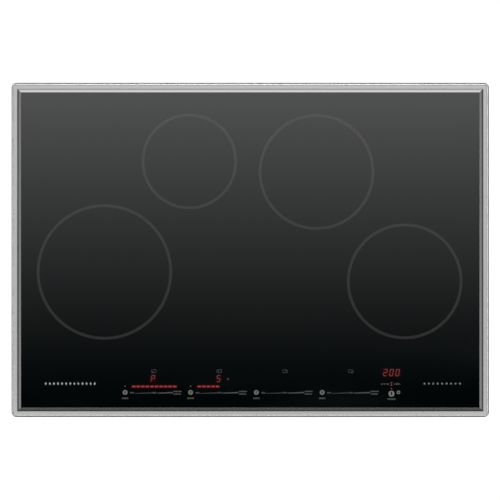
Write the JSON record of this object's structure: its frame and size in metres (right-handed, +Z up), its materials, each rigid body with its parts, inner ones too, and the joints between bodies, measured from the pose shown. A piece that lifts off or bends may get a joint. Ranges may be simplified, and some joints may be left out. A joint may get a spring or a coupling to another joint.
{
  "type": "induction cooktop",
  "caption": "Built-in induction cooktop: black glass-ceramic plate in a steel trim frame over a sheet-metal chassis with coils, electronics, cooling fans and swing-out worktop clamps.",
  "frame": {"origin": "under the middle of the cooktop's plan, on the underside of the chassis", "axes": "+X to the user's right, +Y to the back wall, +Z up out of the glass"},
  "size_m": [0.762, 0.5334, 0.058],
  "materials": {
    "brushed_steel": "satin stainless, brushed along each side",
    "black_glass": "gloss black glass-ceramic, opaque",
    "seal_foam": "closed-cell foam",
    "silicone": "grey silicone adhesive",
    "galvanised": "galvanised sheet",
    "aluminium": "mill finish",
    "copper": "copper litz wire",
    "ferrite_resin": "ferrite bars in dark resin",
    "mica": "mica and fibre disc",
    "board_green": "solder-masked laminate",
    "white_plastic": "moulded",
    "black_plastic": "moulded, fine texture",
    "zinc_plate": "zinc-plated steel"
  },
  "bodies": {
    "cooktop": {"base_tray": "galvanised", "coil_former_front_left": "ferrite_resin", "coil_former_front_right": "ferrite_resin", "coil_former_rear_left": "ferrite_resin", "coil_former_rear_right": "ferrite_resin", "coil_insulator_front_left": "mica", "coil_insulator_front_right": "mica", "coil_insulator_rear_left": "mica", "coil_insulator_rear_right": "mica", "coil_plate_left": "aluminium", "coil_plate_right": "aluminium", "coil_winding_front_left": "copper", "coil_winding_front_right": "copper", "coil_winding_rear_left": "copper", "coil_winding_rear_right": "copper", "control_holder": "black_plastic", "display_front_left": "white_plastic", "display_front_right": "white_plastic", "display_rear_left": "white_plastic", "display_rear_right": "white_plastic", "display_timer": "white_plastic", "entry_bushing": "black_plastic", "entry_locknut": "zinc_plate", "fan_housing_left": "black_plastic", "fan_housing_right": "black_plastic", "fan_motor_left": "black_plastic", "fan_motor_right": "black_plastic", "filter_board": "board_green", "glass_adhesive_bead": "silicone", "glass_plate": "black_glass", "heatsink_left": "aluminium", "heatsink_right": "aluminium", "mounting_frame": "galvanised", "pan_sensor_front_left": "white_plastic", "pan_sensor_front_right": "white_plastic", "pan_sensor_rear_left": "white_plastic", "pan_sensor_rear_right": "white_plastic", "power_board_left": "board_green", "power_board_right": "board_green", "rating_plate": "aluminium", "terminal_block": "white_plastic", "terminal_box": "black_plastic", "touch_board": "board_green", "tray_screw_front_left": "zinc_plate", "tray_screw_front_right": "zinc_plate", "tray_screw_rear_left": "zinc_plate", "tray_screw_rear_right": "zinc_plate", "trim_frame": "brushed_steel", "worktop_seal": "seal_foam"},
    "fan_wheel_left": {"fan_rotor_left": "black_plastic"},
    "fan_wheel_right": {"fan_rotor_right": "black_plastic"},
    "terminal_lid": {"terminal_cover": "black_plastic"},
    "clamp_lift_front_left": {"clamp_screw_front_left": "zinc_plate"},
    "clamp_swing_front_left": {"clamp_arm_front_left": "galvanised"},
    "clamp_lift_front_right": {"clamp_screw_front_right": "zinc_plate"},
    "clamp_swing_front_right": {"clamp_arm_front_right": "galvanised"},
    "clamp_lift_rear_left": {"clamp_screw_rear_left": "zinc_plate"},
    "clamp_swing_rear_left": {"clamp_arm_rear_left": "galvanised"},
    "clamp_lift_rear_right": {"clamp_screw_rear_right": "zinc_plate"},
    "clamp_swing_rear_right": {"clamp_arm_rear_right": "galvanised"}
  },
  "joints": [
    {"name": "fan_left_spin", "type": "hinge", "parent": "cooktop", "child": "fan_wheel_left", "pos_m": [-0.255, 0.14, 0.005], "axis": [0, 0, 1], "continuous": true},
    {"name": "fan_right_spin", "type": "hinge", "parent": "cooktop", "child": "fan_wheel_right", "pos_m": [0.13, 0.14, 0.005], "axis": [0, 0, 1], "continuous": true},
    {"name": "terminal_cover_open", "type": "hinge", "parent": "cooktop", "child": "terminal_lid", "pos_m": [0.255, 0.176, 0.002], "axis": [-1, 0, 0], "range_deg": [0, 95]},
    {"name": "clamp_front_left_lift", "type": "slide", "parent": "cooktop", "child": "clamp_lift_front_left", "axis": [0, 0, 1], "range_m": [0, 0.012]},
    {"name": "clamp_front_left_swing", "type": "hinge", "parent": "clamp_lift_front_left", "child": "clamp_swing_front_left", "pos_m": [-0.338, -0.15, 0.0036], "axis": [0, 0, 1], "range_deg": [0, 90]},
    {"name": "clamp_front_right_lift", "type": "slide", "parent": "cooktop", "child": "clamp_lift_front_right", "axis": [0, 0, 1], "range_m": [0, 0.012]},
    {"name": "clamp_front_right_swing", "type": "hinge", "parent": "clamp_lift_front_right", "child": "clamp_swing_front_right", "pos_m": [0.338, -0.15, 0.0036], "axis": [0, 0, -1], "range_deg": [0, 90]},
    {"name": "clamp_rear_left_lift", "type": "slide", "parent": "cooktop", "child": "clamp_lift_rear_left", "axis": [0, 0, 1], "range_m": [0, 0.012]},
    {"name": "clamp_rear_left_swing", "type": "hinge", "parent": "clamp_lift_rear_left", "child": "clamp_swing_rear_left", "pos_m": [-0.338, 0.15, 0.0036], "axis": [0, 0, -1], "range_deg": [0, 90]},
    {"name": "clamp_rear_right_lift", "type": "slide", "parent": "cooktop", "child": "clamp_lift_rear_right", "axis": [0, 0, 1], "range_m": [0, 0.012]},
    {"name": "clamp_rear_right_swing", "type": "hinge", "parent": "clamp_lift_rear_right", "child": "clamp_swing_rear_right", "pos_m": [0.338, 0.15, 0.0036], "axis": [0, 0, 1], "range_deg": [0, 90]}
  ]
}
